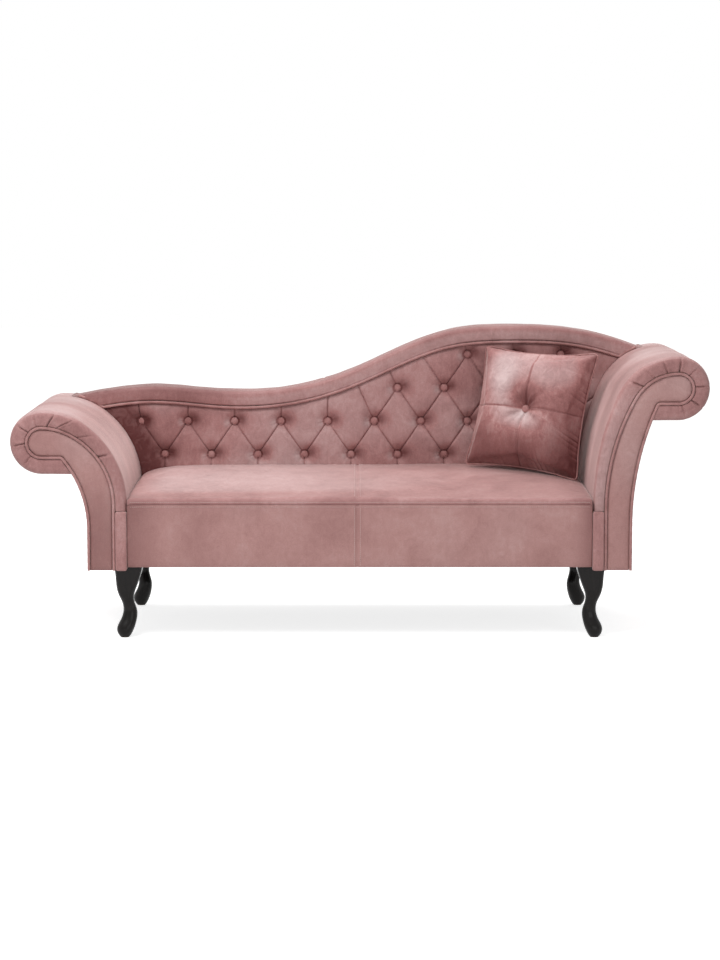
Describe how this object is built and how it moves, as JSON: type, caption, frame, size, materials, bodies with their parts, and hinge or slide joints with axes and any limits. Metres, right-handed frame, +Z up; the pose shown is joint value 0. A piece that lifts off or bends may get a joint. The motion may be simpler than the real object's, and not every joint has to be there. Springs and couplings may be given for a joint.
{
  "type": "chaise longue",
  "caption": "Buttoned velvet chaise longue with a serpentine back, two scroll arms of unequal height, a crowned seat, cabriole legs and a loose throw cushion.",
  "frame": {"origin": "on the floor under the middle of the whole piece", "axes": "+X along the length towards the high arm, +Y from the front to the back, +Z up"},
  "size_m": [1.8, 0.62, 0.7864],
  "materials": {
    "pink_velvet": "short-pile velvet in dusty rose, soft sheen where the pile turns",
    "crushed_velvet": "softer velvet of the throw cushion, darker rose with crushed streaks",
    "velvet_piping": "velvet drawn tight over piping cord",
    "velvet_buttons": "velvet drawn over button shells",
    "black_lacquered_wood": "turned hardwood under black satin lacquer",
    "frame_wood": "planed pine, unfinished",
    "plywood": "sawn plywood, unfinished",
    "foam": "cut upholstery foam",
    "felt": "needled grey felt",
    "polyester_filling": "loose polyester fibre",
    "black_nonwoven": "thin black non-woven cloth",
    "zinc_steel": "zinc-plated steel",
    "nylon_twine": "twisted nylon twine",
    "felt_glide": "dense black felt pad"
  },
  "bodies": {
    "root": {"arm_bolt_washers": "zinc_steel", "arm_bolts": "zinc_steel", "back_board": "plywood", "back_button_ties": "nylon_twine", "back_buttons": "velvet_buttons", "back_foot_rail": "frame_wood", "back_outer_cover": "pink_velvet", "back_posts": "frame_wood", "back_top_rail": "plywood", "back_top_roll": "pink_velvet", "back_tufted_pad": "pink_velvet", "back_welt": "velvet_piping", "front_left_leg": "black_lacquered_wood", "front_right_leg": "black_lacquered_wood", "left_arm_foot_rail": "frame_wood", "left_arm_front_board": "plywood", "left_arm_front_facing": "pink_velvet", "left_arm_front_welt": "velvet_piping", "left_arm_lining": "plywood", "left_arm_outer_panel": "pink_velvet", "left_arm_pad": "pink_velvet", "left_arm_rear_board": "plywood", "left_arm_rear_facing": "pink_velvet", "left_arm_rear_welt": "velvet_piping", "left_arm_slats": "frame_wood", "left_arm_strips": "pink_velvet", "leg_bolts": "zinc_steel", "leg_glides": "felt_glide", "leg_inserts": "zinc_steel", "rear_left_leg": "black_lacquered_wood", "rear_right_leg": "black_lacquered_wood", "right_arm_foot_rail": "frame_wood", "right_arm_front_board": "plywood", "right_arm_front_facing": "pink_velvet", "right_arm_front_welt": "velvet_piping", "right_arm_lining": "plywood", "right_arm_outer_panel": "pink_velvet", "right_arm_pad": "pink_velvet", "right_arm_rear_board": "plywood", "right_arm_rear_facing": "pink_velvet", "right_arm_rear_welt": "velvet_piping", "right_arm_slats": "frame_wood", "right_arm_strips": "pink_velvet", "seat_centre_rail": "frame_wood", "seat_corner_blocks": "frame_wood", "seat_dust_cover": "black_nonwoven", "seat_felt": "felt", "seat_foam": "foam", "seat_front_border": "pink_velvet", "seat_front_rail": "frame_wood", "seat_left_rail": "frame_wood", "seat_pad": "pink_velvet", "seat_rear_rail": "frame_wood", "seat_right_rail": "frame_wood", "seat_springs": "zinc_steel", "spring_clips": "zinc_steel"},
    "throw_cushion": {"throw_cushion_buttons": "velvet_buttons", "throw_cushion_cover": "crushed_velvet", "throw_cushion_filling": "polyester_filling"}
  },
  "joints": [
    {"name": "cushion_lift", "type": "slide", "parent": "root", "child": "throw_cushion", "axis": [0, -0.6402, 0.7682], "range_m": [0, 0.45]}
  ]
}
